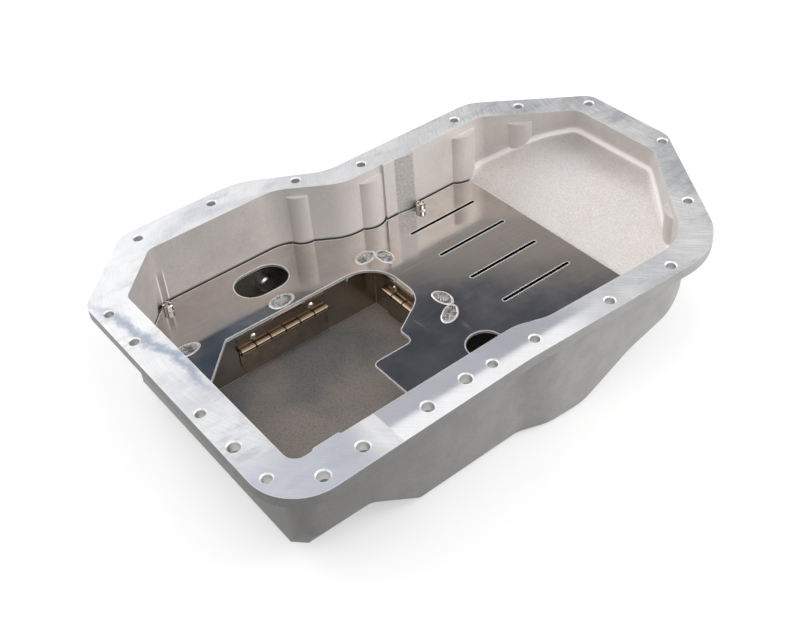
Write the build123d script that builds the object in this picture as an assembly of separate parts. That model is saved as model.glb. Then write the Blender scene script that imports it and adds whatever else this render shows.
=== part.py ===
from build123d import *
import os
from math import sqrt

# Engine oil pan, cast in aluminium: a deep sump at one end, a shallow bowl at the other, and a machined
# flange round the top. A bolted baffle plate covers the sump. Two folded sheets hang from the plate and
# wall in the oil pickup, and each has a trap door on a piano hinge that lets oil in and not out.
# All lengths are millimetres. While drawing, x runs along the pan from the front flange edge, y across it
# from the near flange edge, and z = 0 is the flange face. The saved parts stand on z = 0.

# Flange
LENGTH = 444.0
WIDTH = 298.5
NARROW_WIDTH = 262.5
FLANGE_THICKNESS = 8.0
NEAR_DIP = 3.5
NEAR_CORNER_RADIUS = 36.0
FAR_CORNER_RADIUS = 59.0

# Casting below the flange
DEPTH = 98.5
WALL = 6.0
FLOOR = 5.0
FRONT_RAIL = 27.0
MOUTH_RADIUS = 9.0
NEAR_RAIL = 31.0
NEAR_RAIL_FRONT = 28.4
NEAR_RAIL_FAR = 23.0
LEFT_RAIL = 29.0
LEFT_RAIL_FAR = 22.5
END_RAIL = 24.0
SUMP_END = LENGTH * 0.581
RAMP_END = LENGTH * 0.68
RAMP_DEPTH = 73.0
SHELF_END = LENGTH * 0.7613
SHELF_DEPTH = 60.5
BOWL_END = LENGTH * 0.883
BOWL_DEPTH = 29.0
END_DEPTH = 20.0
BOTTOM_FILLET = 7.0
FRONT_ROUNDING = 26.0
CORNER_ROUNDING = 42.0
ROUNDING_BITE = 0.04

# Scoop in the near front corner, outside and inside
SCOOP_DEPTH = 66.0
SCOOP_START = 72.0
SCOOP_END = 120.0
SCOOP_ROUNDING = 47.0

# Flange bolt holes and the pockets that clear their heads
HOLE_RADIUS = 3.5
LARGE_HOLE_RADIUS = 4.3
HOLE_CHAMFER = 0.8
POCKET_WALL = 5.0

# Baffle plate
BAFFLE_DEPTH = 51.6
SHEET = 2.0
BAFFLE_GAP = 1.2
BAFFLE_OVERHANG = 1.5
BAFFLE_END = SHELF_END + BAFFLE_OVERHANG
BAFFLE_CORNER = 14.0
SLOT_LENGTH = 66.2
SLOT_WIDTH = 2.8
SLOT_PITCH = 36.4
SLOT_COUNT = 4
SLOT_INSET = 50.9
SLOT_FIRST = 31.1
OVAL_X = 135.1
OVAL_INSET = 28.3
OVAL_LENGTH = 44.3
OVAL_WIDTH = 30.9
ROUND_HOLE_X = 214.6
ROUND_HOLE_Y = 72.6
ROUND_HOLE_RADIUS = 14.3
NEAR_STEP = 226.0
LEFT_STEP = 258.0

# Well round the pickup
WELL_LEFT = 201.8
WELL_END = 212.0
WELL_RETURN = 124.0
CUTOUT_SLANT_END = 79.0
CUTOUT_ROUND_END = 55.5
RETURN_LENGTH = 26.0
WALL_SHEET = 1.5
TAB_DEPTH = 17.0
TAB_LENGTH = 26.0
TAB_EAR = 10.0
TAB_ROOT = 12.0
TAB_RELIEF = 1.0
BEND_RADIUS = 2.5
SHEET_GAP = 0.3
WINDOW_RIM = 8.6
WINDOW_MARGIN = 9.0

# Piano hinges and trap doors
KNUCKLE = 13.1
KNUCKLE_RADIUS = 2.5
KNUCKLE_GAP = 0.2
LEAF = 1.0
PIN_RADIUS = 1.2
PIN_CLEARANCE = 0.05
DOOR_CLEARANCE = 0.3
HINGE_DEPTH = 68.0
LEAF_HEIGHT = 12.4
DOOR_FLOOR_GAP = 1.9
DOOR_CORNER = 6.0
LONG_HINGE_START = 86.6
LONG_KNUCKLE_COUNT = 6
SHORT_HINGE_START = 134.6
SHORT_KNUCKLE_COUNT = 4
RIVET_RADIUS = 1.5
RIVET_HEAD_RADIUS = 2.7
RIVET_HEAD_HEIGHT = 1.1
RIVET_INSET = 13.5
RIVET_RISE = 7.6

# Fasteners
BOLT_INSET = 9.3
BOLT_INSET_NEAR = 13.0
BOLT_INSET_END = 17.5
BOLT_RADIUS = 2.5
BOLT_ACROSS_FLATS = 8.0
BOLT_HEAD = 4.5
BOLT_LENGTH = 12.0
WASHER_RADIUS = 4.4
WASHER_THICKNESS = 1.0
FASTENER_CLEARANCE = 0.1
STANDOFF_RADIUS = 8.0
SOCKET_RADIUS = 7.8
SOCKET_TOP = 22.0
WELD_HEIGHT = 0.9
WELD_WIDTH = 9.0
WELD_TAPER = 55

# Drain plug
DRAIN_X = 149.0
DRAIN_DEPTH = 74.0
PLUG_RADIUS = 7.0
PLUG_ACROSS_FLATS = 19.0
PLUG_HEAD = 8.0
PLUG_INSIDE = 11.0
DRAIN_BOSS_RADIUS = 14.0
DRAIN_BOSS_HEIGHT = 4.0
SEAL_RADIUS = 11.5
SEAL_THICKNESS = 1.5

# Places worked out from the sizes above
MOUTH_END = LENGTH - END_RAIL
MOUTH_LEFT = WIDTH - LEFT_RAIL
MOUTH_LEFT_FAR = NARROW_WIDTH - LEFT_RAIL_FAR
SHEET_TOP = -BAFFLE_DEPTH
SHEET_UNDER = -BAFFLE_DEPTH - SHEET
INNER_FLOOR = -DEPTH + FLOOR
WALL_HEIGHT = SHEET_UNDER - INNER_FLOOR - SHEET_GAP
WELL_OUTSIDE = WELL_END + WALL_SHEET
HINGE_DROP = HINGE_DEPTH + SHEET_UNDER
DOOR_HEIGHT = -INNER_FLOOR - HINGE_DEPTH - DOOR_FLOOR_GAP
WINDOW_HEIGHT = DOOR_HEIGHT - WINDOW_RIM
WINDOW_DROP = HINGE_DROP + KNUCKLE_RADIUS + 2 + WINDOW_HEIGHT / 2
SHORT_HINGE_END = SHORT_HINGE_START + SHORT_KNUCKLE_COUNT * KNUCKLE
FAR = 600.0

# Corners are x, y and radius. The flange's outside, anticlockwise from the near front corner.
FLANGE_CORNERS = [
    (0, -NEAR_DIP, NEAR_CORNER_RADIUS),
    (190, 1.2, 260),
    (LENGTH - 77, -NEAR_DIP - 1, FAR_CORNER_RADIUS),
    (LENGTH, 117, 20),
    (LENGTH, NARROW_WIDTH - 62, 12),
    (LENGTH - 81, NARROW_WIDTH, 30),
    (217, NARROW_WIDTH, 40),
    (157, WIDTH, 50),
    (56.5, WIDTH, 20),
    (0, WIDTH - 56.5, 18),
]

# The mouth inside the flange, which the cavity and the baffle plate follow.
MOUTH_CORNERS = [
    (FRONT_RAIL, NEAR_RAIL_FRONT, MOUTH_RADIUS),
    (NEAR_STEP - 23, NEAR_RAIL, 30),
    (NEAR_STEP, NEAR_RAIL_FAR, 30),
    (LENGTH - 92, NEAR_RAIL_FAR - 4.5, 45),
    (MOUTH_END, 109, 15),
    (MOUTH_END, MOUTH_LEFT_FAR - 48, 12),
    (LENGTH - 89, MOUTH_LEFT_FAR, 14),
    (217, MOUTH_LEFT_FAR, 35),
    (173, MOUTH_LEFT, 35),
    (64.5, MOUTH_LEFT, 9),
    (FRONT_RAIL, MOUTH_LEFT - 37.5, 9),
]

# The underside seen from the near side: x, depth and radius.
BOTTOM_CORNERS = [
    (SUMP_END, DEPTH, 34),
    (RAMP_END, RAMP_DEPTH, 60),
    (SHELF_END, SHELF_DEPTH, 50),
    (BOWL_END, BOWL_DEPTH, 60),
]

PLAIN_HOLES = [
    (9.7, 29), (7.5, 100.2), (8.5, WIDTH - 111.5), (9, WIDTH - 74.5),
    (65.5, WIDTH - 11.3), (128.5, WIDTH - 10.5), (LENGTH - 10, NARROW_WIDTH - 69.5), (LENGTH - 9, 114),
    (LENGTH - 120.2, 5.5), (LENGTH - 177, 7.6), (205, 13.3), (169.5, 14),
]
LARGE_HOLES = [(35.5, 9), (66.3, 12), (115.5, 12), (148.3, 15), (8.2, 62.7)]

# Holes over a pocket in the wall, with the pocket's radius.
POCKET_HOLES = [
    (193, (WIDTH + NARROW_WIDTH) / 2 - 11.8, 8.4), (243.5, MOUTH_LEFT_FAR + 11.4, 11),
    (LENGTH - 106, MOUTH_LEFT_FAR + 10.5, 11), (LENGTH - 54.2, MOUTH_LEFT_FAR - 10, 11),
    (LENGTH - 55, 47.7, 11),
]

# Pads cast on the walls, in plan: one milled at an angle in the far left wall, one inside the near flange.
LEFT_PAD = [
    (255, FAR, 0), (255, MOUTH_LEFT_FAR - 2.3, 0), (266, MOUTH_LEFT_FAR - 2.1, 4),
    (283.8, MOUTH_LEFT_FAR - 4.5, 2), (289, FAR, 0),
]
NEAR_PAD = [(42, 0, 0), (42, NEAR_RAIL - 0.8, 1.5), (62.4, NEAR_RAIL - 0.3, 1.5), (64, 0, 0)]

BAFFLE_BOLTS = [
    (64.6, MOUTH_LEFT - BOLT_INSET), (283.5, MOUTH_LEFT_FAR - BOLT_INSET),
    (160, NEAR_RAIL + BOLT_INSET_NEAR), (246, NEAR_RAIL_FAR + BOLT_INSET_NEAR),
    (BAFFLE_END - BOLT_INSET_END, NEAR_RAIL_FAR + BOLT_INSET_NEAR),
]
SOCKET_CUTS = BAFFLE_BOLTS[:1]

# The cut-out in the plate, open towards the front near corner.
CUTOUT_CORNERS = [
    (CUTOUT_SLANT_END - FAR, WELL_LEFT - FAR, 0),
    (CUTOUT_SLANT_END, WELL_LEFT, 4),
    (WELL_OUTSIDE, WELL_LEFT, 28),
    (WELL_OUTSIDE, WELL_LEFT - CUTOUT_ROUND_END, 24),
    (178.6, 124.8, 3.5),
    (178.6, 110.4, 5),
    (142.9, 110.4, 4.5),
    (142.9, WELL_LEFT - FAR, 0),
]

# Where the tabs of the long wall start, and the weld nuggets over all the tabs: middle x and y, length,
# and the angle of the length from x.
LONG_TABS = [41, 120, WELL_OUTSIDE - TAB_LENGTH]
WELDS = [
    (LONG_TABS[0] + TAB_LENGTH / 2, WELL_LEFT + 10.2, 14, 0),
    (LONG_TABS[1] + TAB_LENGTH / 2, WELL_LEFT + 10.2, 14, 0),
    (WELL_OUTSIDE - 6, WELL_LEFT + 11.5, 12, -10),
    (WELL_END + 11, WELL_LEFT + 1, 14, 95),
    (WELL_END + 12.5, WELL_RETURN + 12, 14, 85),
    (WELL_END + 0.5, WELL_RETURN - 10, 13, 10),
]


def rounded_face(corners):
    points = [(x, y) for x, y, radius in corners]
    return make_face(FilletPolyline(*points, radius=[radius for x, y, radius in corners], close=True))


def upright(face, low, high):
    """A prism over a face drawn in plan, between two heights."""
    return extrude(Pos(0, 0, low) * face, high - low)


def disc(x, y, radius, low, high):
    return Pos(x, y, (low + high) / 2) * Cylinder(radius, high - low)


def slab(x0, x1, y0, y1, z0, z1):
    return Pos((x0 + x1) / 2, (y0 + y1) / 2, (z0 + z1) / 2) * Box(x1 - x0, y1 - y0, z1 - z0)


def across(face, y0, y1):
    """A prism along y over a face drawn as x and z."""
    return extrude(Plane.XZ.offset(-y1) * face, y1 - y0)


def along(face, x0, x1):
    """A prism along x over a face drawn as y and z."""
    return extrude(Plane.YZ.offset(x0) * face, x1 - x0)


def bottom_profile(inset):
    """Everything above the pan's underside, in x and z, or above its inner floor when inset."""
    front = FRONT_RAIL - WALL
    corners = [(front, 30, 0), (front, -DEPTH, 0)]
    corners += [(x, -depth, radius) for x, depth, radius in BOTTOM_CORNERS]
    corners += [(LENGTH, -END_DEPTH, 0), (LENGTH, 30, 0)]
    face = rounded_face(corners)
    return offset(face, -inset, kind=Kind.INTERSECTION) if inset else face


def lower_edges(body, front_x, end_x):
    """Edges where the walls meet the bottom, without the seams that cross the bottom."""
    found = []
    for edge in body.edges():
        middle = edge @ 0.5
        upright_edge = abs((edge @ 0).Z - (edge @ 1).Z) > 0.9 * edge.length
        crossing = abs((edge @ 0).Y - (edge @ 1).Y) > 0.9 * edge.length
        at_end = abs(middle.X - front_x) < 0.01 or abs(middle.X - end_x) < 0.01
        if middle.Z < -END_DEPTH / 2 and not upright_edge and (not crossing or at_end):
            found.append(edge)
    return found


def corner_outside(wall, radius, inset):
    """What a rounding takes from the corner of a wall and the bottom, in section. Its circle bites a little
    past both faces, so that it meets them in clean edges."""
    reach = radius - ROUNDING_BITE
    square = Pos(wall, -DEPTH) * Rectangle(2 * reach, 2 * reach)
    return square - Pos(wall + reach, -DEPTH + reach) * Circle(radius - inset)


def front_cut(inset):
    """What the large rounding along the foot of the front wall takes away."""
    return across(corner_outside(FRONT_RAIL - WALL, FRONT_ROUNDING, inset), -FAR / 2, FAR)


def scoop_cut(inset):
    """What the scoop in the near front corner takes away: a ramp in x under a rounding in y."""
    ramp = rounded_face([
        (-40, -SCOOP_DEPTH + inset, 0), (SCOOP_START, -SCOOP_DEPTH + inset, 30),
        (SCOOP_END + inset / 2, -DEPTH + inset, 24), (SCOOP_END + 30, -DEPTH + inset, 0),
        (SCOOP_END + 30, -DEPTH - 40, 0), (-40, -DEPTH - 40, 0),
    ])
    side = corner_outside(NEAR_RAIL_FRONT - WALL, SCOOP_ROUNDING, inset)
    return across(ramp, -FAR / 2, FAR) & along(side, -FAR / 2, FAR)


def near_corner_cut(inset):
    """What a rounding set at 45 degrees across the near front corner takes away."""
    reach = (MOUTH_RADIUS + WALL) * (sqrt(2) - 1)
    turn = Pos(FRONT_RAIL - WALL, NEAR_RAIL_FRONT - WALL) * Rot(0, 0, 45)
    return turn * across(corner_outside(reach, CORNER_ROUNDING, inset), -FAR / 2, FAR)


def body_shape(plan, inset, front_x, end_x):
    """The pan's outside below the flange, or its cavity when inset by the wall."""
    body = upright(plan, -DEPTH - 5, 0) & across(bottom_profile(inset), -FAR / 2, FAR)
    body = fillet(lower_edges(body, front_x, end_x), BOTTOM_FILLET)
    return body - front_cut(inset) - scoop_cut(inset) - near_corner_cut(inset)


def countersunk_hole(x, y, radius, low, high):
    rim = Pos(x, y, high - HOLE_CHAMFER / 2) * Cone(radius, radius + HOLE_CHAMFER, HOLE_CHAMFER)
    return disc(x, y, radius, low, high) + rim


mouth = rounded_face(MOUTH_CORNERS)
flange_face = rounded_face(FLANGE_CORNERS)


def make_casting():
    outside = body_shape(offset(mouth, WALL), 0, FRONT_RAIL - WALL, MOUTH_END + WALL)
    cavity = body_shape(mouth, FLOOR, FRONT_RAIL, MOUTH_END)
    for x, y, radius in POCKET_HOLES:
        cavity -= disc(x, y, radius + POCKET_WALL, -DEPTH, -FLANGE_THICKNESS)
    for x, y in BAFFLE_BOLTS:
        cavity -= disc(x, y, STANDOFF_RADIUS, -DEPTH, SHEET_UNDER)
    cavity -= upright(rounded_face(NEAR_PAD), -DEPTH, 0)
    cavity -= upright(rounded_face(LEFT_PAD), SHEET_UNDER, 0)
    for x, y in SOCKET_CUTS:
        cavity += disc(x, y, SOCKET_RADIUS, SHEET_UNDER, -SOCKET_TOP)
    casting = outside + upright(flange_face, -FLANGE_THICKNESS, 0) - cavity
    left_face = MOUTH_LEFT + WALL
    boss_length = WALL / 2 + DRAIN_BOSS_HEIGHT
    boss_middle = left_face - WALL / 2 + boss_length / 2
    boss = Rot(90, 0, 0) * Cylinder(DRAIN_BOSS_RADIUS, boss_length)
    casting += Pos(DRAIN_X, boss_middle, -DRAIN_DEPTH) * boss
    bore = PLUG_RADIUS + FASTENER_CLEARANCE
    casting -= Pos(DRAIN_X, left_face, -DRAIN_DEPTH) * Rot(90, 0, 0) * Cylinder(bore, 6 * WALL)
    for x, y, radius in POCKET_HOLES:
        casting -= disc(x, y, radius, -DEPTH - 5, -FLANGE_THICKNESS)
        casting -= countersunk_hole(x, y, HOLE_RADIUS, -FLANGE_THICKNESS - 5, 0)
    for x, y in PLAIN_HOLES:
        casting -= countersunk_hole(x, y, HOLE_RADIUS, -FLANGE_THICKNESS - 5, 0)
    for x, y in LARGE_HOLES:
        casting -= countersunk_hole(x, y, LARGE_HOLE_RADIUS, -FLANGE_THICKNESS - 5, 0)
    for x, y in BAFFLE_BOLTS:
        depth = BOLT_LENGTH - SHEET - WASHER_THICKNESS + 2
        casting -= disc(x, y, BOLT_RADIUS + FASTENER_CLEARANCE, SHEET_UNDER - depth, SHEET_UNDER)
    return casting


def make_baffle():
    left = MOUTH_LEFT_FAR - BAFFLE_GAP
    near = NEAR_RAIL_FAR + BAFFLE_GAP
    limit = rounded_face([
        (-FAR, -FAR, 0), (NEAR_STEP, -FAR, 0), (NEAR_STEP, near, 0), (BAFFLE_END, near, BAFFLE_CORNER),
        (BAFFLE_END, left, BAFFLE_CORNER), (LEFT_STEP, left, 0), (LEFT_STEP, FAR, 0), (-FAR, FAR, 0),
    ])
    face = offset(mouth, -BAFFLE_GAP) & limit
    face -= rounded_face(CUTOUT_CORNERS)
    for x, y, radius in POCKET_HOLES:
        face -= Pos(x, y) * Circle(radius + POCKET_WALL + BAFFLE_GAP)
    face -= offset(rounded_face(LEFT_PAD), BAFFLE_GAP)
    face -= Pos(OVAL_X, MOUTH_LEFT - OVAL_INSET) * SlotOverall(OVAL_LENGTH, OVAL_WIDTH)
    face -= Pos(ROUND_HOLE_X, ROUND_HOLE_Y) * Circle(ROUND_HOLE_RADIUS)
    for i in range(SLOT_COUNT):
        slot_y = MOUTH_LEFT_FAR - SLOT_FIRST - i * SLOT_PITCH
        face -= Pos(BAFFLE_END - SLOT_INSET, slot_y) * SlotOverall(SLOT_LENGTH, SLOT_WIDTH)
    for x, y in BAFFLE_BOLTS:
        face -= Pos(x, y) * Circle(BOLT_RADIUS + FASTENER_CLEARANCE)
    return upright(face, SHEET_UNDER, SHEET_TOP)


def bent_tab(start, end):
    """A tab folded away from the well, with its wall face on y = 0 and its top at z = 0."""
    depth = TAB_DEPTH + WALL_SHEET
    section = rounded_face([
        (0, 0, BEND_RADIUS), (0, -TAB_ROOT, 0), (WALL_SHEET, -TAB_ROOT, 0),
        (WALL_SHEET, -WALL_SHEET, BEND_RADIUS - WALL_SHEET), (depth, -WALL_SHEET, 0), (depth, 0, 0),
    ])
    return along(section, start, end)


def tab_ear(start, end):
    """The flat end of a tab that reaches past its wall's corner."""
    return slab(start, end, BEND_RADIUS, TAB_DEPTH + WALL_SHEET, -WALL_SHEET, 0)


def folded_wall(length, tabs, window_ends):
    """A sheet on y = 0 to WALL_SHEET with its top edge under z = 0, and tabs in notches along that edge."""
    sheet = slab(0, length, 0, WALL_SHEET, -WALL_HEIGHT, -SHEET_GAP)
    for start in tabs:
        notch_end = start + TAB_LENGTH + TAB_RELIEF
        sheet -= slab(start - TAB_RELIEF, notch_end, -1, WALL_SHEET + 1, -BEND_RADIUS - TAB_RELIEF, 1)
        sheet += bent_tab(start, start + TAB_LENGTH)
    low, high = window_ends
    opening = Pos((low + high) / 2, WALL_SHEET / 2, -WINDOW_DROP) * Rot(90, 0, 0)
    window = RectangleRounded(high - low, WINDOW_HEIGHT, WINDOW_HEIGHT / 5)
    return sheet - opening * extrude(window, WALL_SHEET, both=True)


def rivet_places(knuckles):
    return [RIVET_INSET, knuckles * KNUCKLE - RIVET_INSET]


def hinge_set(knuckles):
    """Fixed leaf, door, pin and rivets. The wall's face is y = 0, the hinge runs along x from 0, and the
    pin's height is z = 0. The well is on the side of negative y."""
    length = knuckles * KNUCKLE
    axis = -KNUCKLE_RADIUS - DOOR_CLEARANCE
    clear = KNUCKLE_RADIUS + DOOR_CLEARANCE
    bore = Pos(length / 2, axis, 0) * Rot(0, 90, 0) * Cylinder(PIN_RADIUS + PIN_CLEARANCE, length + 2)
    fixed = slab(0, length, -LEAF, 0, clear, LEAF_HEIGHT)
    door_back = axis + KNUCKLE_RADIUS
    corner = DOOR_CORNER
    outline = rounded_face([
        (0, -clear, 0), (0, -DOOR_HEIGHT + 1.5 * corner, 1), (corner / 2, -DOOR_HEIGHT, 1),
        (length - corner, -DOOR_HEIGHT, 1), (length, -DOOR_HEIGHT + corner / 2, 1), (length, -clear, 0),
    ])
    door = across(outline, door_back - LEAF, door_back)
    for i in range(knuckles):
        start = i * KNUCKLE + KNUCKLE_GAP / 2
        end = (i + 1) * KNUCKLE - KNUCKLE_GAP / 2
        barrel = Pos((start + end) / 2, axis, 0) * Rot(0, 90, 0) * Cylinder(KNUCKLE_RADIUS, end - start)
        if i % 2:
            door += barrel + slab(start, end, door_back - LEAF, door_back, -clear - 0.5, 0)
        else:
            fixed += barrel + slab(start, end, -LEAF, 0, 0, clear + 0.5)
    fixed -= bore
    door -= bore
    pin = Pos(length / 2, axis, 0) * Rot(0, 90, 0) * Cylinder(PIN_RADIUS, length + 1)
    rivets = []
    for x in rivet_places(knuckles):
        fixed -= Pos(x, 0, RIVET_RISE) * Rot(90, 0, 0) * Cylinder(RIVET_RADIUS + PIN_CLEARANCE, 10)
        rivets.append(make_rivet(x))
    return fixed, door, pin, rivets


def make_rivet(x):
    """A rivet through the leaf and the wall, with a low head and a flat tail behind."""
    grip = LEAF + WALL_SHEET
    shank = Pos(x, -LEAF + grip / 2, RIVET_RISE) * Rot(90, 0, 0) * Cylinder(RIVET_RADIUS, grip)
    head = Pos(x, -LEAF - RIVET_HEAD_HEIGHT / 2, RIVET_RISE) * Rot(90, 0, 0)
    head *= Cone(RIVET_HEAD_RADIUS, RIVET_HEAD_RADIUS * 0.6, RIVET_HEAD_HEIGHT)
    tail = Pos(x, WALL_SHEET + 0.4, RIVET_RISE) * Rot(90, 0, 0) * Cylinder(RIVET_HEAD_RADIUS * 0.8, 0.8)
    return shank + head + tail


def cut_rivet_holes(wall, start, knuckles):
    for x in rivet_places(knuckles):
        place = Pos(start + x, 0, RIVET_RISE - HINGE_DROP) * Rot(90, 0, 0)
        wall -= place * Cylinder(RIVET_RADIUS + PIN_CLEARANCE, 4 * WALL_SHEET)
    return wall


def door_window(hinge_start, knuckles):
    return hinge_start + WINDOW_MARGIN, hinge_start + knuckles * KNUCKLE - WINDOW_MARGIN


def make_long_wall():
    start = FRONT_RAIL + BAFFLE_GAP
    hinge_start = LONG_HINGE_START - start
    tabs = [x - start for x in LONG_TABS]
    wall = folded_wall(WELL_OUTSIDE - start, tabs, door_window(hinge_start, LONG_KNUCKLE_COUNT))
    wall = cut_rivet_holes(wall, hinge_start, LONG_KNUCKLE_COUNT)
    return Pos(start, WELL_LEFT, SHEET_UNDER) * wall - front_cut(FLOOR + SHEET_GAP)


def make_short_wall():
    """One sheet with two folds: the wall with the door, and a short return along the near side."""
    start = WELL_LEFT - SHEET_GAP
    length = start - WELL_RETURN
    hinge_start = start - SHORT_HINGE_START - SHORT_KNUCKLE_COUNT * KNUCKLE
    wall = folded_wall(length, [0, length - 1 - TAB_LENGTH], door_window(hinge_start, SHORT_KNUCKLE_COUNT))
    wall = cut_rivet_holes(wall, hinge_start, SHORT_KNUCKLE_COUNT) + tab_ear(-TAB_EAR, 0.5)
    wall = Pos(WELL_END, start, SHEET_UNDER) * Rot(0, 0, -90) * wall
    front = WELL_END - RETURN_LENGTH
    top = SHEET_UNDER - BEND_RADIUS - TAB_RELIEF
    low = SHEET_UNDER - WALL_HEIGHT
    wall += slab(front, WELL_OUTSIDE, WELL_RETURN - WALL_SHEET, WELL_RETURN, low, top)
    tab = bent_tab(front, WELL_END - TAB_RELIEF) + tab_ear(WELL_END - TAB_RELIEF - 0.5, WELL_END + TAB_EAR)
    return wall + Pos(0, WELL_RETURN, SHEET_UNDER) * mirror(tab, Plane.XZ)


def hex_bolt(x, y):
    seat = SHEET_TOP + WASHER_THICKNESS
    shank = disc(x, y, BOLT_RADIUS, seat - BOLT_LENGTH, seat)
    head = upright(Pos(x, y) * RegularPolygon(BOLT_ACROSS_FLATS / sqrt(3), 6), seat, seat + BOLT_HEAD)
    crown = Cone(BOLT_ACROSS_FLATS * 0.9, BOLT_ACROSS_FLATS * 0.48, BOLT_HEAD)
    return shank + (head & Pos(x, y, seat + BOLT_HEAD / 2) * crown)


def make_weld(x, y, length, angle):
    nugget = extrude(SlotOverall(length, WELD_WIDTH), WELD_HEIGHT, taper=WELD_TAPER)
    return Pos(x, y, SHEET_TOP) * Rot(0, 0, angle) * nugget


def make_drain():
    seat = MOUTH_LEFT + WALL + DRAIN_BOSS_HEIGHT
    head_start = seat + SEAL_THICKNESS
    tip = MOUTH_LEFT - PLUG_INSIDE
    turn = Pos(DRAIN_X, 0, -DRAIN_DEPTH) * Rot(-90, 0, 0)
    shank = Pos(0, 0, tip) * extrude(Circle(PLUG_RADIUS), head_start - tip)
    shank = chamfer(shank.edges().group_by(Axis.Z)[0], 1.5)
    flats = RegularPolygon(PLUG_ACROSS_FLATS / sqrt(3), 6)
    head = Pos(0, 0, head_start) * extrude(flats, PLUG_HEAD)
    crown = Cone(PLUG_ACROSS_FLATS * 0.9, PLUG_ACROSS_FLATS * 0.48, PLUG_HEAD)
    head &= Pos(0, 0, head_start + PLUG_HEAD / 2) * crown
    seal_face = Circle(SEAL_RADIUS) - Circle(PLUG_RADIUS + FASTENER_CLEARANCE)
    seal = Pos(0, 0, seat) * extrude(seal_face, SEAL_THICKNESS)
    return turn * (shank + head), turn * seal


def save(name, shape):
    """Write one node, moved so that the pan stands on z = 0 with its footprint centred."""
    solids = shape if isinstance(shape, list) else [shape]
    placed = [STAND * solid for item in solids for solid in item.solids()]
    export_step(placed[0] if len(placed) == 1 else Compound(children=placed), "parts/" + name + ".step")


os.makedirs("parts", exist_ok=True)
casting = make_casting()
limits = casting.bounding_box()
STAND = Pos(-(limits.min.X + limits.max.X) / 2, -(limits.min.Y + limits.max.Y) / 2, DEPTH)
save("pan_casting", casting)
save("baffle_plate", make_baffle())
save("box_wall_long", make_long_wall())
save("box_wall_short", make_short_wall())

hinges = {
    "long": (LONG_KNUCKLE_COUNT, Pos(LONG_HINGE_START, WELL_LEFT, -HINGE_DEPTH)),
    "short": (SHORT_KNUCKLE_COUNT, Pos(WELL_END, SHORT_HINGE_END, -HINGE_DEPTH) * Rot(0, 0, -90)),
}
for side, (knuckles, place) in hinges.items():
    leaf, door, pin, rivets = hinge_set(knuckles)
    save("hinge_leaf_" + side, place * leaf)
    save("trap_door_" + side, place * door)
    save("hinge_pin_" + side, place * pin)
    save("hinge_rivets_" + side, [place * rivet for rivet in rivets])

save("baffle_bolts", [hex_bolt(x, y) for x, y in BAFFLE_BOLTS])
washer_bore = BOLT_RADIUS + FASTENER_CLEARANCE
washer_top = SHEET_TOP + WASHER_THICKNESS
washers = [
    disc(x, y, WASHER_RADIUS, SHEET_TOP, washer_top) - disc(x, y, washer_bore, SHEET_TOP, washer_top)
    for x, y in BAFFLE_BOLTS
]
save("baffle_washers", washers)
save("plug_welds", [make_weld(x, y, length, angle) for x, y, length, angle in WELDS])
plug, seal = make_drain()
save("drain_plug", plug)
save("drain_washer", seal)
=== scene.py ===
import bpy
import math
import random
from mathutils import Matrix, Vector, noise


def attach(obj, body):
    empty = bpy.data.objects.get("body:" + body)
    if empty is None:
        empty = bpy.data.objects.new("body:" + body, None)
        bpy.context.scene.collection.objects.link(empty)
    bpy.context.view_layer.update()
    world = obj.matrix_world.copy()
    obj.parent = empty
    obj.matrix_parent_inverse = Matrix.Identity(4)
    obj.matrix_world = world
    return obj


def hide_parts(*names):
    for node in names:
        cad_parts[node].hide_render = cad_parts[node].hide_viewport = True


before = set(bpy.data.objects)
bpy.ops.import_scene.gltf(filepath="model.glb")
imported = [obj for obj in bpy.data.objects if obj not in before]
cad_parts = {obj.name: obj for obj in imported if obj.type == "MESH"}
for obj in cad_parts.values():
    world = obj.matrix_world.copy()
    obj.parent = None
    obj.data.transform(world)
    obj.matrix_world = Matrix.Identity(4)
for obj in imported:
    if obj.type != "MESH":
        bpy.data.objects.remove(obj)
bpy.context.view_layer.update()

# The camera, from the photograph's perspective: direction, roll, place and focal length
AZIMUTH = math.radians(54.96)
ELEVATION = math.radians(41.15)
ROLL = math.radians(-4.79)
CAMERA_PLACE = Vector((-0.398398, -0.530086, 0.598076))
LENS = 51.92
SENSOR_WIDTH = 36

# Row frame place of the drawing's corner, in millimetres. The drawing starts at the near front corner of the
# flange face, with x along the near rail, y across the pan and z up
SHIFT = Vector((-222.0, -147.527, 98.5))
PAN_MIDDLE = (215, 150)

# Heights in the row frame, in metres. The sump's painted shade fades in from the first of its two heights to the
# second
FLANGE_TOP = 0.0985
PLATE_TOP = 0.0469
SUMP_STARTS, SUMP_FULL = 0.045, 0.030

# The flange holes, in millimetres of the drawing, as in the part
SMALL_HOLES = [(9.7, 29), (7.5, 100.2), (8.5, 187), (9, 224), (65.5, 287.2), (128.5, 288), (434, 193), (435, 114),
               (323.8, 5.5), (267, 7.6), (205, 13.3), (169.5, 14), (193, 268.7), (243.5, 251.4), (338, 250.5),
               (389.8, 230), (389, 47.7)]
LARGE_HOLES = [(35.5, 9), (66.3, 12), (115.5, 12), (148.3, 15), (8.2, 62.7)]

# The baffle plate's top in the drawing, and the weld spots on it: middle x and y, length, width (all in
# millimetres) and the angle of the length, in degrees
PLATE_DEPTH = -51.6
WELDS = [(52, 211.5, 21, 14, 0), (133.2, 210.7, 22.4, 14.9, 8), (211.2, 210.1, 20, 14.5, 5),
         (223.3, 200.5, 20.5, 13, 94), (224.8, 132.1, 21.5, 12.2, 99), (217, 114.8, 22.8, 12.6, 32)]

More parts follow.
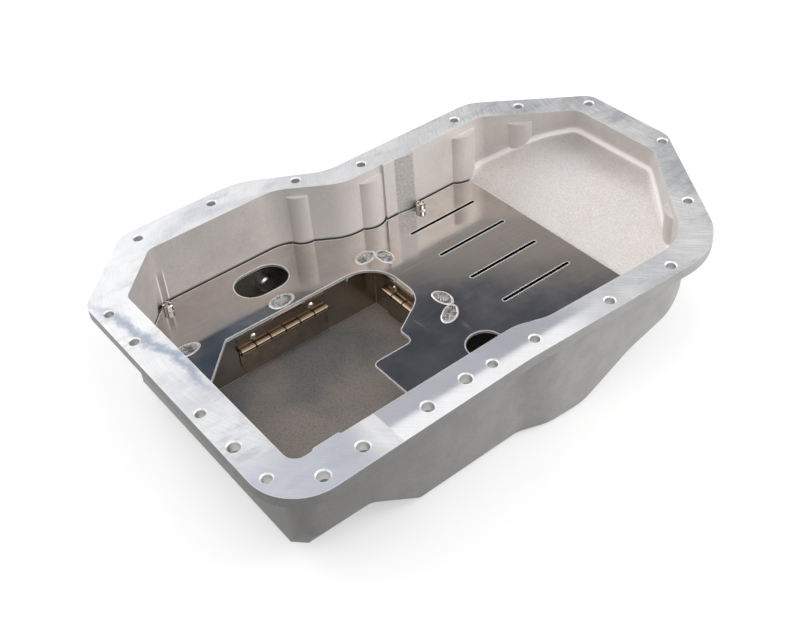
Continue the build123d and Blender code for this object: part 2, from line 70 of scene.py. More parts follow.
# The piano hinges in the drawing: depth of both pins, the long pin's y and the x of its first knuckle, the short
# pin's x and the y of its first knuckle, all in millimetres, and the knuckles' pitch in metres
PIN_DEPTH = -68
LONG_PIN_Y, LONG_STARTS_X = 199.0, 86.6
SHORT_PIN_X, SHORT_STARTS_Y = 209.2, 134.6
KNUCKLE_PITCH = 0.0131

# The floor: half its side and how far it is below the part, in metres, its grey, and the light that it gives to
# the camera and to mirrors
FLOOR_REACH = 3.0
FLOOR_DROP = 0.0005
FLOOR_GREY = 0.62
FLOOR_GLOW = 0.46

# The studio: brightness level with the part and overhead, then softboxes and gaps as azimuth, elevation, radius
# of the full patch and of its edge, in degrees, and brightness
HORIZON, ZENITH = 1.5, 0.8
STUDIO = [((214, 0, 30, 58), 0.03), ((0, 25, 35, 65), 0.35), ((225, 62, 14, 34), 1.75), ((87, 27, 15, 25), 2.9)]

# A warm wall and the dark beam over it, ahead of the camera: azimuth, half the width that is full and half the
# width with its soft sides, then the elevations at which the wall is gone and full, and those of the beam's edges,
# all in degrees, the colours, and how soft the beam's edges are as a share of a ray's height
WALL_AHEAD, WALL_TOP, WALL_COLOUR = (40, 23, 31), (39.6, 37.8), (0.44, 0.42, 0.40)
BEAM_AHEAD, BEAM_EDGES, BEAM_COLOUR = (47, 26, 50), (38.9, 62), (0.095, 0.110, 0.140)
BEAM_SOFT = 0.012

WHITE = (1, 1, 1)


def place(x, y, z=0.0):
    """A point of the drawing, in millimetres from the near front corner of the flange face, in the row frame."""
    return (Vector((x, y, z)) + SHIFT) / 1000


def direction(azimuth, elevation):
    """The unit vector of a direction given in degrees."""
    a, e = math.radians(azimuth), math.radians(elevation)
    return Vector((math.cos(e) * math.cos(a), math.cos(e) * math.sin(a), math.sin(e)))


class Paint:
    """A node tree with short calls for the nodes that the materials use."""

    def __init__(self, name, holder=None):
        self.holder = holder or bpy.data.materials.new(name)
        self.holder.use_nodes = True
        self.tree = self.holder.node_tree
        self.tree.nodes.clear()

    def locate(self):
        """Sets the place on the part: where, x, y and z in the row frame, mx and my from the drawing's corner, in
        metres, and the surface's facing, with up as its share upwards."""
        coords = self.node("TexCoord").outputs
        self.where, self.facing = coords["Object"], coords["Normal"]
        self.x, self.y, self.z = self.parts(self.where)[:3]
        self.mx = self.math("SUBTRACT", self.x, place(0, 0).x)
        self.my = self.math("SUBTRACT", self.y, place(0, 0).y)
        self.up = self.parts(self.facing)[2]

    def feed(self, socket, value):
        if isinstance(value, bpy.types.NodeSocket):
            self.tree.links.new(value, socket)
        elif socket.type == "RGBA" and len(value) == 3:
            socket.default_value = (*value, 1)
        else:
            socket.default_value = value

    def node(self, kind, inputs=None, **settings):
        made = self.tree.nodes.new("ShaderNode" + kind)
        for name, value in settings.items():
            setattr(made, name, value)
        for name, value in (inputs or {}).items():
            self.feed(made.inputs[name], value)
        return made

    def math(self, operation, *values):
        return self.node("Math", dict(enumerate(values)), operation=operation).outputs[0]

    def times(self, product, *others):
        """The product of two or more values."""
        for other in others:
            product = self.math("MULTIPLY", product, other)
        return product

    def vector(self, operation, *values):
        made = self.node("VectorMath", dict(enumerate(values)), operation=operation)
        return made.outputs["Value" if operation in ("DOT_PRODUCT", "DISTANCE") else "Vector"]

    def step(self, value, low, high, start=0.0, end=1.0):
        """A smooth ramp from start to end as value goes from low to high."""
        inputs = {"Value": value, "From Min": low, "From Max": high, "To Min": start, "To Max": end}
        return self.node("MapRange", inputs, interpolation_type="SMOOTHSTEP").outputs[0]

    def region(self, value, low, high, soft):
        """1 between low and high, with soft ends."""
        return self.times(self.step(value, low - soft, low + soft), self.step(value, high + soft, high - soft))

    def within(self, value, low, high):
        """1 between low and high, with hard ends."""
        return self.times(self.math("GREATER_THAN", value, low), self.math("LESS_THAN", value, high))

    def near_any(self, where, centres, inner, outer):
        """1 within inner of any centre, falling to 0 at outer."""
        nearest = None
        for centre in centres:
            far = self.vector("DISTANCE", where, tuple(centre))
            nearest = far if nearest is None else self.math("MINIMUM", nearest, far)
        return self.step(nearest, inner, outer, 1.0, 0.0)

    def edge(self, radius, low=0.015, high=0.12):
        """1 on the part's sharp edges, within radius of them, and 0 on flat ground."""
        rounded = self.node("Bevel", {"Radius": radius}, samples=4).outputs[0]
        plain = self.node("NewGeometry").outputs["Normal"]
        agree = self.vector("DOT_PRODUCT", rounded, plain)
        return self.step(self.math("SUBTRACT", 1.0, agree), low, high)

    def blend(self, amount, first, second):
        """A number from first to second as amount goes from 0 to 1."""
        return self.node("Mix", {0: amount, 2: first, 3: second}).outputs[0]

    def mix(self, amount, first, second):
        """A colour from first to second as amount goes from 0 to 1."""
        return self.node("Mix", {0: amount, 6: first, 7: second}, data_type="RGBA").outputs[2]

    def scaled(self, colour, value):
        """A colour times a number."""
        return self.node("VectorMath", {0: colour, "Scale": value}, operation="SCALE").outputs[0]

    def noise(self, where, scale, detail=3.0, roughness=0.55, stretch=None):
        if stretch:
            where = self.vector("MULTIPLY", where, stretch)
        inputs = {"Vector": where, "Scale": scale, "Detail": detail, "Roughness": roughness}
        return self.node("TexNoise", inputs).outputs["Fac"]

    def parts(self, vector):
        return self.node("SeparateXYZ", {0: vector}).outputs

    def bump(self, height, distance, strength):
        return self.node("Bump", {"Height": height, "Distance": distance, "Strength": strength}).outputs[0]

    def surface(self, color, metallic, roughness, normal):
        inputs = {"Base Color": color, "Metallic": metallic, "Roughness": roughness, "Normal": normal}
        shader = self.node("BsdfPrincipled", inputs)
        self.node("OutputMaterial", {"Surface": shader.outputs[0]})
        return self.holder


def cast_skin(p, inner):
    """Colour, roughness and normal of the sand-cast skin, one skin all round: painted darker outside as shade,
    paler and warm inside as painted light, and painted shade down in the sump.
    """
    grain = p.noise(p.where, 1700, 2, 0.6)
    sand = p.noise(p.where, 620, 2, 0.7)
    blotch = p.noise(p.where, 60, 4, 0.6)
    cloud = p.noise(p.where, 14, 3, 0.5)
    patches = p.noise(p.where, 11, 3, 0.5)

    # One cast skin in two copies: the darker outside is painted shade, the paler inside painted light
    outside = p.mix(p.step(blotch, 0.35, 0.65), (0.215, 0.212, 0.206), (0.255, 0.252, 0.246))
    # Painted shade: the outside darkens towards the near front corner
    outside = p.scaled(outside, p.step(p.math("ADD", p.mx, p.my), 0.0, 0.38, 0.62, 1.58))
    inside = p.mix(p.step(blotch, 0.3, 0.7), (0.62, 0.57, 0.54), (0.71, 0.66, 0.63))
    inside = p.mix(p.step(cloud, 0.42, 0.62), inside, (0.67, 0.64, 0.62))
    # Painted shade: the inside darkens towards the front end
    inside = p.scaled(inside, p.step(p.mx, 0.06, 0.26, 0.82, 1.06))
    # Painted shade down in the sump, in random warm and grey patches
    sump = p.mix(p.step(patches, 0.40, 0.60), (0.300, 0.262, 0.230), (0.165, 0.168, 0.166))
    inside = p.mix(p.times(p.step(p.z, SUMP_STARTS, SUMP_FULL), inner), inside, sump)
    colour = p.mix(inner, outside, inside)

    # Pale specks of the grain, and dark sand, which is stronger in the sump
    specks = p.blend(inner, 0.08, p.step(p.z, SUMP_FULL, SUMP_STARTS, 0.13, 0.30))
    colour = p.mix(p.times(p.step(grain, 0.36, 0.66), specks), colour, (0.82, 0.80, 0.78))
    dark_sand = p.times(p.step(sand, 0.5, 0.68), inner, p.step(p.z, SUMP_FULL, SUMP_STARTS, 0.62, 0.15))
    colour = p.mix(dark_sand, colour, p.scaled(colour, 0.55))

    rough = p.step(blotch, 0.3, 0.7, 0.46, 0.60)
    height = p.math("MULTIPLY_ADD", sand, 0.7, p.math("MULTIPLY_ADD", blotch, 0.8, grain))
    return colour, rough, p.bump(height, 0.0004, 0.6)


def bowl_tones(p, inner, colour):
    """The bowl beyond the plate: a pale fillet as a painted highlight, and a peppered floor with painted shade that
    darkens it towards the far end.
    """
    bowl = p.times(inner, p.step(p.mx, 0.325, 0.340))
    # Painted highlight: the pale fillet
    fillet = p.times(p.region(p.up, 0.35, 0.74, 0.07), bowl)
    colour = p.mix(p.times(fillet, 0.62), colour, (0.96, 0.94, 0.92))
    floor = p.times(p.step(p.up, 0.78, 0.86), bowl)
    pepper = p.step(p.noise(p.where, 780, 2, 0.8), 0.40, 0.60, 0.93, 1.06)
    towards_end = p.math("MULTIPLY_ADD", p.y, 0.30, p.mx)
    # Painted shade: the bowl floor darkens towards the far end
    tone = p.times(p.step(towards_end, 0.372, 0.436, 1.05, 0.62), pepper)
    return p.mix(floor, colour, p.scaled(colour, tone))


def socket_highlights(p, inner, colour):
    """Two painted highlights with a dull band of painted shade between them in the far left wall, where the sides
    of a socket would catch and lose the light. They are painted by place, because a socket that narrow would not
    show."""
    starts, full, wall_y, middle_x = -20, -30, 266, 67.7  # millimetres of the drawing
    marked = p.times(p.step(p.z, place(0, 0, starts).z, place(0, 0, full).z),
                     p.math("GREATER_THAN", p.y, place(0, wall_y).y), inner)
    across = p.math("ABSOLUTE", p.math("SUBTRACT", p.mx, middle_x / 1000))
    socket_shade = p.times(marked, p.step(across, 0.0030, 0.0022))
    colour = p.mix(p.times(socket_shade, 0.5), colour, (0.30, 0.29, 0.28))
    # Painted highlights: the socket's two bright edges
    line = p.times(marked, p.region(across, 0.0025, 0.0035, 0.0003))
    return p.mix(line, colour, (1.0, 0.99, 0.98))


def gap_shadow(p, inner, colour):
    """Painted shadow, by place: the black line where the plate meets the wall, clear of the front wall, up to the
    bowl.
    """
    below_plate, above_plate = 0.004, 0.0012
    height = p.region(p.z, PLATE_TOP - below_plate, PLATE_TOP + above_plate, 0.0009)
    length = p.times(p.step(p.mx, 0.052, 0.062), p.step(p.mx, 0.341, 0.337))
    return p.mix(p.times(height, length, inner, 0.95), colour, (0.05, 0.048, 0.045))


def mill_lines(p):
    """The fine arcs of a face mill: mostly those of its leading side, and a few of its trailing side."""
    arc_radius, wobble_high = 0.2, 0.0015
    off_middle = p.math("SUBTRACT", p.y, place(*PAN_MIDDLE).y)
    bow = p.math("SQRT", p.math("SUBTRACT", arc_radius ** 2, p.times(off_middle, off_middle)))
    wobble = p.times(p.noise(p.where, 25, 1), wobble_high)
    arcs = []
    for sign, pitch, scale in ((1, 0.0019, 3.0), (-1, 0.0027, 2.0)):
        phase = p.math("MULTIPLY_ADD", bow, sign, p.x)
        along = p.math("DIVIDE", p.math("ADD", phase, wobble), pitch)
        row = p.node("CombineXYZ", {0: along, 1: p.times(p.y, 16)}).outputs[0]
        arcs.append(p.noise(row, scale, 3, 0.65))
    return p.math("ADD", p.times(arcs[0], 0.85), p.times(arcs[1], 0.15))


def front_streak(p):
    """The blue streak, a painted reflection, that runs down the front rail and drifts a little to its sides."""
    lean, through_x, through_y = 0.19, 0.009, 0.214
    drift = p.times(p.math("SUBTRACT", p.noise(p.where, 22, 5, 0.65), 0.5), 0.050)
    middle = p.math("MULTIPLY_ADD", p.my, -lean, through_x + through_y * lean)
    off = p.math("ADD", p.math("SUBTRACT", p.mx, middle), drift)
    return p.times(p.region(off, -0.004, 0.003, 0.004), p.region(p.my, 0.118, 0.235, 0.022),
                   p.step(p.mx, 0.045, 0.035))


def milled_face(p):
    """Colour, metallic, roughness and normal of the milled flange, with clouds of painted reflection. The streak,
    the bands on the near rail and the tint over the front rail are painted reflections; they and the dark far
    corner are painted by place, and stay on the part when it is turned. Their limits are metres from the drawing's
    corner."""
    pale, bright = (0.94, 0.94, 0.94), (0.97, 0.97, 0.98)
    lines = mill_lines(p)
    haze_and_reflection = p.noise(p.where, 9, 4, 0.6, (1, 1, 0))
    scratch = p.noise(p.where, 260, 3, 0.7, (1, 0.06, 1))
    elsewhere = p.vector("ADD", p.where, (0.31, 0.17, 0))
    reflection_cloud = p.noise(elsewhere, 30, 5, 0.7, (0.55, 1.4, 0))

    # Clouds of painted reflection, pale and grey, then darker and paler patches
    colour = p.mix(p.step(haze_and_reflection, 0.38, 0.64), (0.76, 0.77, 0.80), pale)
    colour = p.mix(p.times(p.step(reflection_cloud, 0.50, 0.66), 0.45), colour, (0.45, 0.47, 0.52))
    colour = p.mix(p.times(p.step(reflection_cloud, 0.46, 0.34), 0.40), colour, pale)
    colour = p.mix(p.times(front_streak(p), 0.85), colour, (0.34, 0.40, 0.52))

    # Painted reflections on the near rail: a bright band across it, then a grey inner half and a bright outer half
    near = p.step(p.my, 0.036, 0.030)
    halves = p.times(p.step(p.mx, 0.0865, 0.0875), p.step(p.mx, 0.275, 0.215), near)
    inner_half = p.step(p.math("MULTIPLY_ADD", p.noise(p.where, 60, 2), 0.004, p.my), 0.011, 0.018)
    colour = p.mix(p.times(halves, inner_half), colour, (0.60, 0.61, 0.66))
    colour = p.mix(p.times(halves, p.step(p.my, 0.015, 0.008)), colour, bright)
    band = p.times(near, p.step(p.mx, 0.073, 0.079), p.step(p.mx, 0.0875, 0.0865))
    colour = p.mix(band, colour, bright)

    # Painted reflection: a bluish tint over the front rail
    front_tint_reflection = p.times(p.step(p.my, 0.060, 0.030), p.step(p.mx, 0.079, 0.060))
    colour = p.mix(p.times(front_tint_reflection, 0.75), colour, (0.60, 0.62, 0.70))
    line_tone = p.step(p.mx, 0.24, 0.40, 0.91, 0.74)
    colour = p.mix(p.step(lines, 0.42, 0.58), p.scaled(colour, line_tone), colour)
    corner = p.times(p.step(p.mx, 0.330, 0.420), p.step(reflection_cloud, 0.44, 0.58))
    colour = p.mix(p.times(corner, 0.30), colour, (0.42, 0.43, 0.46))
    colour = p.mix(p.times(p.step(scratch, 0.66, 0.76), 0.25), colour, (0.95, 0.95, 0.97))

    # The bright outer half of the near rail's painted reflection is also less metallic
    outer_half = p.times(halves, p.step(p.my, 0.018, 0.010))
    metal = p.step(outer_half, 0.0, 1.0, 0.65, 0.25)
    rough = p.math("ADD", p.step(haze_and_reflection, 0.35, 0.65, 0.42, 0.52), p.step(lines, 0.4, 0.6, -0.04, 0.04))
    return colour, metal, rough, p.bump(lines, 0.00025, 0.5)


def milled_pad(p):
    """Mask and colour of the pad that is milled into the far left wall, with its limits from the drawing."""
    left, right, near, far = 265.6, 284.9, 233, 239
    mask = p.times(p.within(p.x, place(left, 0).x, place(right, 0).x),
                   p.within(p.y, place(0, near).y, place(0, far).y), p.math("LESS_THAN", p.up, 0.5))
    rough_cut = p.noise(p.where, 900, 3, 0.7)
    return mask, p.mix(p.step(rough_cut, 0.35, 0.65), (0.40, 0.40, 0.40), (0.62, 0.62, 0.62))


def drilled_holes(p):
    """Mask and colour of the flange's holes: a painted highlight on their chamfers, and painted shade that makes
    their bores greyer.
    """
    chamfer_low, chamfer_high, hole_depth = 0.0014, 0.0008, 0.009
    level = p.vector("MULTIPLY", p.where, (1, 1, 0))
    small = p.near_any(level, [place(a, b).xy.to_3d() for a, b in SMALL_HOLES], 0.0043, 0.0044)
    large = p.near_any(level, [place(a, b).xy.to_3d() for a, b in LARGE_HOLES], 0.0051, 0.0052)
    mask = p.times(p.math("MAXIMUM", small, large), p.math("GREATER_THAN", p.z, FLANGE_TOP - hole_depth))
    on_chamfer = p.step(p.z, FLANGE_TOP - chamfer_low, FLANGE_TOP - chamfer_high)
    return mask, p.mix(on_chamfer, (0.58, 0.58, 0.57), (0.93, 0.93, 0.92))


def make_cast():
    """Sand-cast aluminium with a machined flange: cast grain outside, a warmer sheen inside, milled where cut, with
    painted highlights on the sharp edges and painted light and shade in the skin.
    """
    p = Paint("cast_aluminium")
    p.locate()

    # The inner side: walls that face the pan's middle, and all that faces up
    from_middle = p.vector("MULTIPLY", p.vector("SUBTRACT", p.where, place(*PAN_MIDDLE)), (0.55, 1, 0))
    outward = p.vector("DOT_PRODUCT", from_middle, p.facing)
    inner = p.math("MAXIMUM", p.step(outward, 0.002, -0.002), p.step(p.up, 0.2, 0.5))
    edges = p.edge(0.0009)

    skin, skin_rough, skin_normal = cast_skin(p, inner)
    skin = bowl_tones(p, inner, skin)
    skin = socket_highlights(p, inner, skin)
    skin = gap_shadow(p, inner, skin)
    # Painted highlight on the inside's sharp edges
    skin = p.mix(p.times(edges, inner, 0.85), skin, (0.97, 0.96, 0.95))

    # Cut faces over the skin: the holes, the pad, then the flange's top
    top = p.math("GREATER_THAN", p.z, FLANGE_TOP - 0.00012)
    milled, cut_metal, milled_rough, milled_normal = milled_face(p)
    pad, pad_colour = milled_pad(p)
    drilled, bore_colour = drilled_holes(p)
    cut = p.math("MAXIMUM", top, p.math("MAXIMUM", pad, drilled))
    colour = p.mix(top, p.mix(pad, p.mix(drilled, skin, bore_colour), pad_colour), milled)
    # Painted highlight on the flange's sharp edges
    colour = p.mix(p.times(top, edges, 0.8), colour, (0.97, 0.97, 0.97))
    metal = p.blend(cut, p.blend(inner, 0.12, 0.35), cut_metal)
    rough = p.blend(top, p.blend(cut, skin_rough, 0.38), milled_rough)
    normal = p.node("Mix", {0: top, 4: skin_normal, 5: milled_normal}, data_type="VECTOR").outputs[1]
    return p.surface(color=colour, metallic=metal, roughness=rough, normal=normal)


def make_sheet(name, tint, rough, rim_width, rim_colour):
    """Bright rolled sheet: a blurred mirror with rolling streaks, smudges and pale cut edges, painted bright as
    highlights. A blue tint by the front end, a painted reflection, and brown halos round the welds are painted by
    place, and painted shade darkens the plate towards the front end."""
    p = Paint(name)
    p.locate()
    rolled = p.noise(p.where, 30, 4, 0.7, (1, 26, 26))
    smudge = p.noise(p.where, 26, 5, 0.62)
    fine = p.noise(p.where, 420, 3, 0.7, (0.08, 1, 1))
    scratch = p.noise(p.where, 200, 2, 0.7, (1, 0.12, 1))
    wave = p.noise(p.where, 11, 2, 0.4)
    hair = p.noise(p.where, 150, 3, 0.75, (0.25, 1, 1))

    base = p.mix(p.step(smudge, 0.35, 0.68), p.scaled(tint, 0.86), tint)
    base = p.mix(p.times(p.step(rolled, 0.5, 0.7), 0.5), base, p.scaled(tint, 1.12))
    # Painted shade: the plate darkens towards the front end
    base = p.scaled(base, p.step(p.mx, 0.05, 0.27, 0.87, 1.0))
    # Painted reflection: a blue tint by the front end
    blue = p.near_any(p.where, [place(62, 172, PLATE_DEPTH), place(92, 188, PLATE_DEPTH)], 0.008, 0.048)
    base = p.mix(p.times(blue, 0.85), base, p.vector("MULTIPLY", base, (0.62, 0.80, 1.02)))
    halo = p.near_any(p.where, [place(x, y, PLATE_DEPTH) for x, y, *rest in WELDS], 0.0085, 0.0145)
    base = p.mix(p.times(halo, 0.35), base, (0.52, 0.40, 0.32))
    # Pale cut edges, painted bright as highlights
    rim = p.edge(rim_width, 0.008, 0.07)
    base = p.mix(rim, base, rim_colour)

    # From where the slots begin, the plate's cut sides are dark, for the gloom below it
    slots_begin, soft = 0.233, 0.001
    sides = p.times(p.step(p.math("ABSOLUTE", p.up), 0.6, 0.3),
                    p.step(p.mx, slots_begin - soft, slots_begin + soft),
                    p.step(p.z, PLATE_TOP - 0.006, PLATE_TOP - 0.003))
    base = p.mix(sides, base, (0.02, 0.02, 0.02))

    shine = p.math("ADD", p.step(smudge, 0.3, 0.7, rough, rough + 0.06), p.times(fine, 0.02))
    shine = p.math("ADD", shine, p.times(p.step(scratch, 0.66, 0.74), 0.08))
    shine = p.blend(rim, shine, 0.45)
    metal = p.step(rim, 0.0, 1.0, 1.0, 0.0)
    normal = p.bump(p.math("MULTIPLY_ADD", hair, 0.004, wave), 0.0012, 0.30)
    return p.surface(color=base, metallic=metal, roughness=shine, normal=normal)


def make_hinge(name, tint):
    """Stainless piano hinge: dark leaves, and barrels painted golden as a reflection, with a dark band of painted
    reflection and painted shade in the joints between knuckles.
    """
    p = Paint(name)
    where = p.node("TexCoord").outputs["Object"]
    x, y, z = p.parts(where)[:3]
    smudge = p.noise(where, 70, 4, 0.65)
    base = p.mix(p.step(smudge, 0.35, 0.68), p.scaled(tint, 0.75), tint)
    gaps, barrels, bands = [], [], []
    for along, start, across, pin in ((x, place(LONG_STARTS_X, 0).x, y, place(0, LONG_PIN_Y).y),
                                      (y, place(0, SHORT_STARTS_Y).y, x, place(SHORT_PIN_X, 0).x)):
        height = p.math("SUBTRACT", z, place(0, 0, PIN_DEPTH).z)
        off = p.math("SUBTRACT", across, pin)
        far = p.math("SQRT", p.math("MULTIPLY_ADD", off, off, p.times(height, height)))
        barrel = p.step(far, 0.0027, 0.0026)
        share = p.math("FRACT", p.math("DIVIDE", p.math("SUBTRACT", along, start), KNUCKLE_PITCH))
        to_joint = p.math("MINIMUM", share, p.math("SUBTRACT", 1.0, share))
        gaps.append(p.times(barrel, p.step(to_joint, 0.060, 0.035)))
        barrels.append(barrel)
        bands.append(p.times(barrel, p.region(p.math("DIVIDE", height, far), 0.15, 0.50, 0.08)))
    # Painted reflection: golden barrels with a dark band by angle; painted shade in the joints between knuckles
    base = p.mix(p.math("MAXIMUM", *barrels), base, (0.58, 0.45, 0.32))
    base = p.mix(p.math("MAXIMUM", *bands), base, (0.15, 0.105, 0.07))
    base = p.mix(p.math("MAXIMUM", *gaps), base, (0.02, 0.015, 0.01))
    shine = p.step(smudge, 0.3, 0.7, 0.07, 0.13)
    return p.surface(color=base, metallic=0.95, roughness=shine, normal=p.bump(smudge, 0.0003, 0.3))


def make_bright(name, tint, smoothest, roughest, grain):
    """Turned or ground bright metal with fine lines and a little unevenness."""
    p = Paint(name)
    where = p.node("TexCoord").outputs["Object"]
    uneven = p.noise(where, 180, 4, 0.6)
    lines = p.noise(where, grain, 3, 0.7, (1, 1, 5))
    base = p.mix(p.step(uneven, 0.35, 0.7), p.scaled(tint, 0.82), tint)
    shine = p.step(lines, 0.3, 0.7, smoothest, roughest)
    return p.surface(color=base, metallic=1.0, roughness=shine, normal=p.bump(lines, 0.00008, 0.35))


def make_bolt():
    """Bright plated steel, with dark and light stripes along the shank painted as the reflection of a striped
    surround.
    """
    p = Paint("bolt_steel")
    where = p.node("TexCoord").outputs["Object"]
    stripes = p.noise(where, 620, 2, 0.5, (1, 1, 0.04))
    rings = p.noise(where, 1500, 2, 0.5, (0.1, 0.1, 1))
    base = p.mix(p.step(stripes, 0.44, 0.56), (0.10, 0.085, 0.07), (0.93, 0.90, 0.85))
    shine = p.step(rings, 0.35, 0.65, 0.10, 0.20)
    return p.surface(color=base, metallic=0.85, roughness=shine, normal=p.bump(rings, 0.0001, 0.4))


def make_weld_metal():
    """Aluminium weld: a whitish rim and frost on a bead that is dull where the pool dipped."""
    p = Paint("weld")
    where = p.node("TexCoord").outputs["Object"]
    ring = p.node("Attribute", attribute_name="ring").outputs["Fac"]
    frost = p.noise(where, 900, 4, 0.7)
    pool = p.noise(where, 220, 3, 0.6)
    dull = p.mix(p.step(pool, 0.38, 0.62), (0.18, 0.175, 0.175), (0.62, 0.61, 0.60))
    rim = p.times(p.step(ring, 0.70, 0.84), p.step(ring, 1.0, 0.94))
    base = p.mix(rim, dull, (0.92, 0.90, 0.87))
    base = p.mix(p.times(p.step(frost, 0.5, 0.7), 0.6), base, (0.95, 0.94, 0.92))
    rough = p.step(frost, 0.3, 0.7, 0.20, 0.42)
    return p.surface(color=base, metallic=0.8, roughness=rough, normal=p.bump(frost, 0.00025, 0.6))


def bead_height(r, u, v, length, number):
    """Height of a bead over the plate, in millimetres, at share r of the way from its middle to its edge and at u
    and v, in millimetres along and across it."""
    rim_at, rim_width, mound_ends, ripples_end, fade_width = 0.84, 0.075, 0.74, 0.78, 0.06
    ripple_pitch, ripples_from, crater_at, crater_spread = 1.9, 0.16, 0.06, 2.6
    foot, rim_high, mound_high, ripple_high, crater_deep = 0.05, 0.42, 0.40, 0.30, 0.45
    lowest, under = 0.03, -0.05
    rim = math.exp(-((r - rim_at) / rim_width) ** 2)
    mound = max(0.0, 1 - (r / mound_ends) ** 2) ** 0.8
    ripple = 0.5 + 0.5 * math.cos(2 * math.pi * math.hypot(u + length * ripples_from, v) / ripple_pitch)
    crater = math.exp(-((u - length * crater_at) ** 2 + v * v) / crater_spread)
    fade = min(1.0, (1 - r) / fade_width)
    ripples = ripple_high * ripple * mound ** 0.3 * (r < ripples_end)
    h = foot + fade * (rim_high * rim + mound_high * mound + ripples) - crater_deep * crater
    spot = Vector((u, v, number * 9.0))
    h += fade * (0.16 * noise.noise(spot * 1.1) + 0.10 * noise.noise(spot * 2.6))
    return max(h, lowest) if r < 1 else under


def make_welds():
    """The weld spots: a closed oval bead each, with a raised rim, ripples and a crater, on the plate's top."""
    random.seed(7)
    verts, faces, rings = [], [], []
    turns, steps = 72, 22
    for number, (x, y, length, width, angle) in enumerate(WELDS):
        start = len(verts)
        c, s = math.cos(math.radians(angle)), math.sin(math.radians(angle))
        lobes = [random.uniform(0, 6.3) for k in range(4)]  # the fourth draw only keeps the order of the draws
        for j in range(1, steps + 1):
            r = j / steps
            for i in range(turns):
                t = 2 * math.pi * i / turns
                swell = 1 + 0.035 * math.sin(2 * t + lobes[0]) + 0.03 * math.sin(3 * t + lobes[1]) \
                    + 0.015 * math.sin(7 * t + lobes[2])
                u = r * swell * length / 2 * math.cos(t)
                v = r * swell * width / 2 * math.sin(t)
                h = bead_height(r, u, v, length, number)
                verts.append(place(x + c * u - s * v, y + s * u + c * v, PLATE_DEPTH + h))
                rings.append(r)
        for j in range(steps - 1):
            for i in range(turns):
                a = start + j * turns + i
                b = start + j * turns + (i + 1) % turns
                faces.append((a, a + turns, b + turns, b))
        faces.append(tuple(start + i for i in range(turns)))
        faces.append(tuple(start + (steps - 1) * turns + i for i in reversed(range(turns))))
    mesh = bpy.data.meshes.new("weld_spots")
    mesh.from_pydata(verts, [], faces)
    mesh.attributes.new("ring", "FLOAT", "POINT").data.foreach_set("value", rings)
    mesh.polygons.foreach_set("use_smooth", [True] * len(faces))
    mesh.validate()
    return mesh


def camera_at_photo():
    forward = Vector((math.cos(ELEVATION) * math.cos(AZIMUTH), math.cos(ELEVATION) * math.sin(AZIMUTH),
                      -math.sin(ELEVATION)))
    level = Vector((math.sin(AZIMUTH), -math.cos(AZIMUTH), 0))
    down = forward.cross(level)
    right = math.cos(ROLL) * level - math.sin(ROLL) * down
    up = forward.cross(right) * -1
    data = bpy.data.cameras.new("camera")
    data.lens = LENS
    data.sensor_width = SENSOR_WIDTH
    camera = bpy.data.objects.new("camera", data)
    turn = Matrix((right, up, -forward)).transposed().to_4x4()
    camera.matrix_world = Matrix.Translation(CAMERA_PLACE) @ turn
    bpy.context.scene.collection.objects.link(camera)
    bpy.context.scene.camera = camera


def make_light(name, where, target, size, power):
    data = bpy.data.lights.new(name, "AREA")
    data.shape = "RECTANGLE"
    data.size, data.size_y = size
    data.energy = power
    light = bpy.data.objects.new(name, data)
    light.location = where
    light.rotation_euler = (Vector(target) - Vector(where)).to_track_quat("-Z", "Y").to_euler()
    bpy.context.scene.collection.objects.link(light)


def make_floor():
    """A pale floor, with a glow that only the camera, mirrors and clear pieces see."""
    mesh = bpy.data.meshes.new("floor")
    r = FLOOR_REACH
    mesh.from_pydata([(-r, -r, 0), (r, -r, 0), (r, r, 0), (-r, r, 0)], [], [(0, 1, 2, 3)])
    floor = bpy.data.objects.new("floor", mesh)
    floor.location.z = -FLOOR_DROP
    bpy.context.scene.collection.objects.link(floor)
    p = Paint("floor")
    rays = p.node("LightPath").outputs
    seen = p.math("MAXIMUM", rays["Is Camera Ray"], rays["Is Glossy Ray"])
    seen = p.math("MAXIMUM", seen, rays["Is Transmission Ray"])
    diffuse = p.node("BsdfDiffuse", {"Color": (FLOOR_GREY, FLOOR_GREY, FLOOR_GREY)})
    glow = p.node("Emission", {"Color": WHITE, "Strength": p.times(seen, FLOOR_GLOW)})
    both = p.node("AddShader", {0: diffuse.outputs[0], 1: glow.outputs[0]})
    p.node("OutputMaterial", {"Surface": both.outputs[0]})
    mesh.materials.append(p.holder)


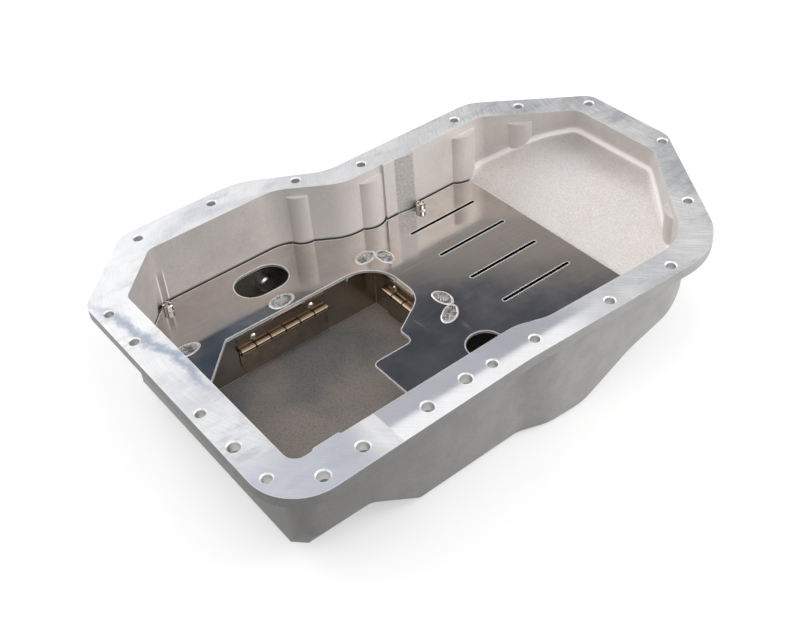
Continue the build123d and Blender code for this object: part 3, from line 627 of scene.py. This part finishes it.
def make_world():
    """A studio by direction: pale walls that dim overhead, softboxes and gaps, and ahead of the camera a warm wall
    with a dark beam over it. The camera itself sees plain white."""
    world = bpy.data.worlds.new("studio")
    bpy.context.scene.world = world
    p = Paint("studio", world)
    ray = p.node("TexCoord").outputs["Generated"]
    up = p.parts(ray)[2]

    def patch(way, azimuth, elevation, full, none):
        """1 where way is within full degrees of a direction, falling to 0 at none degrees."""
        along = p.vector("DOT_PRODUCT", way, tuple(direction(azimuth, elevation)))
        return p.step(along, math.cos(math.radians(none)), math.cos(math.radians(full)))

    level = p.step(up, 0.35, 0.95, HORIZON, ZENITH)
    for (azimuth, elevation, full, none), value in STUDIO:
        level = p.blend(patch(ray, azimuth, elevation, full, none), level, value)
    colour = p.node("CombineColor", {0: level, 1: level, 2: level}).outputs[0]

    flat = p.vector("NORMALIZE", p.vector("MULTIPLY", ray, (1, 1, 0)))
    wall_gone, wall_full = (math.sin(math.radians(angle)) for angle in WALL_TOP)
    azimuth, full, none = WALL_AHEAD
    wall = p.times(patch(flat, azimuth, 0, full, none), p.step(up, wall_gone, wall_full))
    colour = p.mix(wall, colour, WALL_COLOUR)
    beam_low, beam_high = (math.sin(math.radians(angle)) for angle in BEAM_EDGES)
    azimuth, full, none = BEAM_AHEAD
    beam = p.times(patch(flat, azimuth, 0, full, none), p.region(up, beam_low, beam_high, BEAM_SOFT))
    colour = p.mix(beam, colour, BEAM_COLOUR)

    camera_ray = p.node("LightPath").outputs["Is Camera Ray"]
    background = p.node("Background", {"Color": p.mix(camera_ray, colour, WHITE), "Strength": 1.0})
    p.node("OutputWorld", {"Surface": background.outputs[0]})


camera_at_photo()
make_world()
make_floor()
make_light("key", where=(1.0, -0.75, 0.6), target=(0, 0, 0), size=(0.8, 0.8), power=9)
bpy.context.scene.view_settings.view_transform = "Standard"

sheet = make_sheet("bright_sheet", tint=(0.66, 0.61, 0.575), rough=0.07, rim_width=0.0018,
                   rim_colour=(1.0, 0.99, 0.97))
wall_sheet = make_sheet("wall_sheet", tint=(0.46, 0.39, 0.33), rough=0.14, rim_width=0.0008,
                        rim_colour=(0.97, 0.96, 0.94))
hinge = make_hinge("hinge_steel", tint=(0.34, 0.26, 0.195))
door = make_hinge("door_steel", tint=(0.36, 0.29, 0.23))
pin = make_bright("bright_steel", tint=(0.46, 0.39, 0.31), smoothest=0.06, roughest=0.16, grain=320)
rivet = make_bright("rivet_steel", tint=(0.74, 0.70, 0.64), smoothest=0.10, roughest=0.22, grain=500)
plug_metal = make_bright("plug_steel", tint=(0.90, 0.88, 0.85), smoothest=0.25, roughest=0.40, grain=380)
washer_metal = make_bright("washer_metal", tint=(0.72, 0.70, 0.68), smoothest=0.22, roughest=0.40, grain=500)
finishes = {
    "pan_casting": make_cast(),
    "baffle_plate": sheet,
    "box_wall_long": wall_sheet, "box_wall_short": wall_sheet,
    "hinge_leaf_long": hinge, "hinge_leaf_short": hinge,
    "trap_door_long": door, "trap_door_short": door,
    "hinge_pin_long": pin, "hinge_pin_short": pin,
    "hinge_rivets_long": rivet, "hinge_rivets_short": rivet,
    "baffle_bolts": make_bolt(), "baffle_washers": washer_metal,
    "drain_plug": plug_metal, "drain_washer": washer_metal,
}
for name, material in finishes.items():
    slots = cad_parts[name].data.materials
    slots.clear()
    slots.append(material)

weld_mesh = make_welds()
weld_mesh.materials.append(make_weld_metal())
weld_spots = bpy.data.objects.new("weld_spots", weld_mesh)
bpy.context.scene.collection.objects.link(weld_spots)
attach(weld_spots, "pan")
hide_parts("plug_welds")
